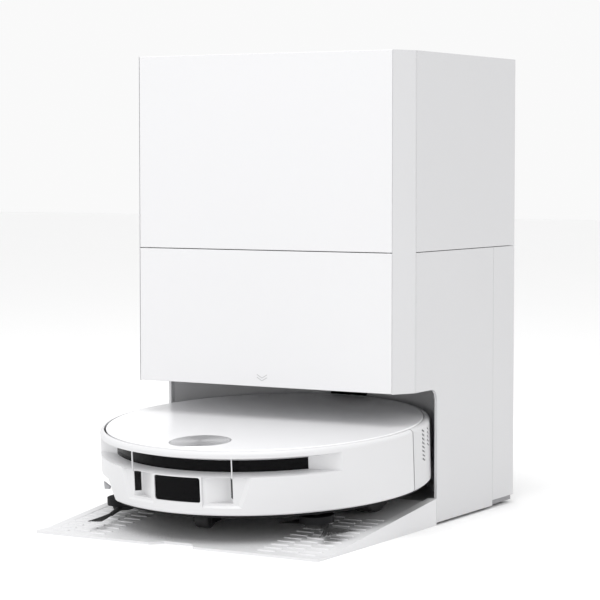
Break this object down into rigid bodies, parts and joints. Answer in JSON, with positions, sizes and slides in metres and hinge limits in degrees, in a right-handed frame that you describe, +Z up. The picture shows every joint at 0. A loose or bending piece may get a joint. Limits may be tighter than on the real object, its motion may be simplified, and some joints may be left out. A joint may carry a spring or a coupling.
{
  "type": "robot vacuum with base station",
  "caption": "Disc-shaped robot vacuum and mop parked nose-out in a tall box-shaped base station with an entry ramp, lift-out water tanks and a dust-bag door.",
  "frame": {"origin": "on the floor under the centre of the whole object's box", "axes": "+Z up, -Y out of the docking bay towards the front, +X to the right seen from the front"},
  "size_m": [0.352, 0.45, 0.5],
  "materials": {
    "white_shell": "fine satin moulded",
    "front_white": "smooth painted panel",
    "tray_white": "fine satin moulded",
    "inner_grey": "matt moulded",
    "dark_chassis": "matt moulded",
    "black_window": "polished infrared window",
    "smoke_tank": "smoked clear",
    "clear_tank": "clear",
    "button_metal": "spun brushed disc",
    "contact_metal": "plated spring contacts",
    "tyre_rubber": "ribbed tyre",
    "foot_rubber": "matt",
    "bristle_black": "nylon bristle",
    "brush_rubber": "moulded blades",
    "mop_fabric": "short pile",
    "bag_fabric": "non-woven",
    "card": "pressed card",
    "filter_paper": "pleated",
    "circuit_board": "solder mask",
    "battery_wrap": "shrink film",
    "screw_steel": "plated",
    "spring_steel": "drawn wire"
  },
  "bodies": {
    "station": {"base_frame": "inner_grey", "ramp_tray": "tray_white", "washboard": "inner_grey", "lower_housing": "white_shell", "upper_housing": "white_shell", "back_cover": "white_shell", "left_pillar": "white_shell", "right_pillar": "white_shell", "upper_front_panel": "front_white", "dust_duct": "inner_grey", "dock_blower": "dark_chassis", "power_supply": "dark_chassis", "power_inlet": "dark_chassis", "water_pump": "inner_grey", "ir_window": "black_window", "dock_feet": "foot_rubber", "dock_screws": "screw_steel"},
    "door": {"dust_door": "front_white"},
    "bag": {"dust_bag": "bag_fabric", "bag_collar": "card"},
    "blower_wheel": {"dock_impeller": "inner_grey"},
    "drying_wheel": {"drying_fan": "dark_chassis"},
    "contacts": {"charge_contacts": "contact_metal"},
    "clean_water": {"clean_tank": "clear_tank"},
    "clean_lid": {"clean_tank_lid": "white_shell"},
    "clean_handle": {"clean_tank_handle": "white_shell"},
    "dirty_water": {"dirty_tank": "smoke_tank"},
    "dirty_lid": {"dirty_tank_lid": "white_shell"},
    "dirty_handle": {"dirty_tank_handle": "white_shell"},
    "robot": {"chassis": "dark_chassis", "upper_frame": "dark_chassis", "rear_shell": "white_shell", "camera_module": "dark_chassis", "bumper_springs": "spring_steel", "brush_cover": "inner_grey", "battery": "battery_wrap", "main_board": "circuit_board"},
    "cover": {"top_cover": "white_shell"},
    "bin": {"dustbin": "smoke_tank", "dust_filter": "filter_paper"},
    "front_bumper": {"bumper": "white_shell", "sensor_window": "black_window", "camera_window": "black_window"},
    "lidar": {"lidar_head": "dark_chassis"},
    "button": {"power_button": "button_metal"},
    "roller": {"main_brush": "brush_rubber"},
    "left_side_brush": {"side_brush_left": "bristle_black"},
    "right_side_brush": {"side_brush_right": "bristle_black"},
    "left_arm": {"left_wheel_arm": "dark_chassis"},
    "right_arm": {"right_wheel_arm": "dark_chassis"},
    "left_wheel": {"left_drive_wheel": "tyre_rubber"},
    "right_wheel": {"right_drive_wheel": "tyre_rubber"},
    "fork": {"caster_fork": "dark_chassis"},
    "caster": {"caster_wheel": "tyre_rubber"},
    "mop_lift": {"mop_lift_frame": "dark_chassis"},
    "left_mop": {"left_mop_plate": "inner_grey", "left_mop_pad": "mop_fabric"},
    "right_mop": {"right_mop_plate": "inner_grey", "right_mop_pad": "mop_fabric"},
    "fan": {"suction_fan": "inner_grey"}
  },
  "joints": [
    {"name": "robot_drive_out", "type": "slide", "parent": "station", "child": "robot", "axis": [0, -1, 0], "range_m": [0, 0.42]},
    {"name": "dust_door_pull", "type": "slide", "parent": "station", "child": "door", "axis": [0, -1, 0], "range_m": [0, 0.12]},
    {"name": "dust_bag_pull", "type": "slide", "parent": "station", "child": "bag", "axis": [0, -1, 0], "range_m": [0, 0.108]},
    {"name": "blower_spin", "type": "hinge", "parent": "station", "child": "blower_wheel", "pos_m": [0.062, 0.196, 0.122], "axis": [0, 0, 1], "continuous": true},
    {"name": "drying_fan_spin", "type": "hinge", "parent": "station", "child": "drying_wheel", "pos_m": [0.142, 0.13, 0.069], "axis": [0, 0, 1], "continuous": true},
    {"name": "contacts_press", "type": "slide", "parent": "station", "child": "contacts", "axis": [0, 1, 0], "range_m": [0, 0.003], "stiffness_N_per_m": 400},
    {"name": "clean_tank_lift", "type": "slide", "parent": "station", "child": "clean_water", "axis": [0, 0, 1], "range_m": [0, 0.21]},
    {"name": "clean_lid_hinge", "type": "hinge", "parent": "clean_water", "child": "clean_lid", "pos_m": [-0.079, 0.1452, 0.4972], "axis": [-1, 0, 0], "range_deg": [0, 85]},
    {"name": "clean_handle_fold", "type": "hinge", "parent": "clean_lid", "child": "clean_handle", "pos_m": [-0.079, 0.088, 0.4978], "axis": [-1, 0, 0], "range_deg": [0, 90]},
    {"name": "dirty_tank_lift", "type": "slide", "parent": "station", "child": "dirty_water", "axis": [0, 0, 1], "range_m": [0, 0.21]},
    {"name": "dirty_lid_hinge", "type": "hinge", "parent": "dirty_water", "child": "dirty_lid", "pos_m": [0.079, 0.1452, 0.4972], "axis": [-1, 0, 0], "range_deg": [0, 85]},
    {"name": "dirty_handle_fold", "type": "hinge", "parent": "dirty_lid", "child": "dirty_handle", "pos_m": [0.079, 0.088, 0.4978], "axis": [-1, 0, 0], "range_deg": [0, 90]},
    {"name": "top_cover_lift", "type": "slide", "parent": "robot", "child": "cover", "axis": [0, -0.0713, 0.9975], "range_m": [0, 0.02]},
    {"name": "dustbin_lift", "type": "slide", "parent": "robot", "child": "bin", "axis": [0, -0.0713, 0.9975], "range_m": [0, 0.016]},
    {"name": "bumper_press", "type": "slide", "parent": "robot", "child": "front_bumper", "axis": [0, 0.9975, 0.0713], "range_m": [0, 0.0018], "stiffness_N_per_m": 900, "deforming": ["bumper_springs"]},
    {"name": "lidar_spin", "type": "hinge", "parent": "robot", "child": "lidar", "pos_m": [0, -0.15706, 0.08275], "axis": [0, -0.0713, 0.9975], "continuous": true},
    {"name": "button_press", "type": "slide", "parent": "robot", "child": "button", "axis": [0, 0.0713, -0.9975], "range_m": [0, 0.0012], "stiffness_N_per_m": 1200},
    {"name": "main_brush_spin", "type": "hinge", "parent": "robot", "child": "roller", "pos_m": [0, -0.0556, 0.03787], "axis": [1, 0, 0], "continuous": true},
    {"name": "left_side_brush_spin", "type": "hinge", "parent": "robot", "child": "left_side_brush", "pos_m": [-0.118, -0.13653, 0.02005], "axis": [0, -0.0713, 0.9975], "continuous": true},
    {"name": "right_side_brush_spin", "type": "hinge", "parent": "robot", "child": "right_side_brush", "pos_m": [0.118, -0.13653, 0.02005], "axis": [0, -0.0713, 0.9975], "continuous": true},
    {"name": "left_suspension", "type": "hinge", "parent": "robot", "child": "left_arm", "pos_m": [-0.105, -0.0851, 0.05782], "axis": [1, 0, 0], "range_deg": [0, 8], "stiffness_Nm_per_rad": 2, "springref_deg": -17.19},
    {"name": "right_suspension", "type": "hinge", "parent": "robot", "child": "right_arm", "pos_m": [0.105, -0.0851, 0.05782], "axis": [1, 0, 0], "range_deg": [0, 8], "stiffness_Nm_per_rad": 2, "springref_deg": -17.19},
    {"name": "left_wheel_spin", "type": "hinge", "parent": "left_arm", "child": "left_wheel", "pos_m": [-0.125, -0.03886, 0.05611], "axis": [1, 0, 0], "continuous": true},
    {"name": "right_wheel_spin", "type": "hinge", "parent": "right_arm", "child": "right_wheel", "pos_m": [0.125, -0.03886, 0.05611], "axis": [1, 0, 0], "continuous": true},
    {"name": "caster_swivel", "type": "hinge", "parent": "robot", "child": "fork", "pos_m": [0, -0.15549, 0.03273], "axis": [0, -0.0713, 0.9975], "continuous": true},
    {"name": "caster_roll", "type": "hinge", "parent": "fork", "child": "caster", "pos_m": [0, -0.16158, 0.01977], "axis": [1, 0, 0], "continuous": true},
    {"name": "mop_lift_up", "type": "slide", "parent": "robot", "child": "mop_lift", "axis": [0, -0.0713, 0.9975], "range_m": [0, 0.0045]},
    {"name": "left_mop_spin", "type": "hinge", "parent": "mop_lift", "child": "left_mop", "pos_m": [-0.07, 0.05484, 0.03574], "axis": [0, -0.0713, 0.9975], "continuous": true},
    {"name": "right_mop_spin", "type": "hinge", "parent": "mop_lift", "child": "right_mop", "pos_m": [0.07, 0.05484, 0.03574], "axis": [0, -0.0713, 0.9975], "continuous": true},
    {"name": "suction_fan_spin", "type": "hinge", "parent": "robot", "child": "fan", "pos_m": [0, -0.09244, 0.07634], "axis": [0, -0.0713, 0.9975], "continuous": true}
  ],
  "couplings": [
    {"joint": "dust_bag_pull", "follows": "dust_door_pull", "ratio": 0.9},
    {"joint": "dustbin_lift", "follows": "top_cover_lift", "ratio": 0.8}
  ]
}
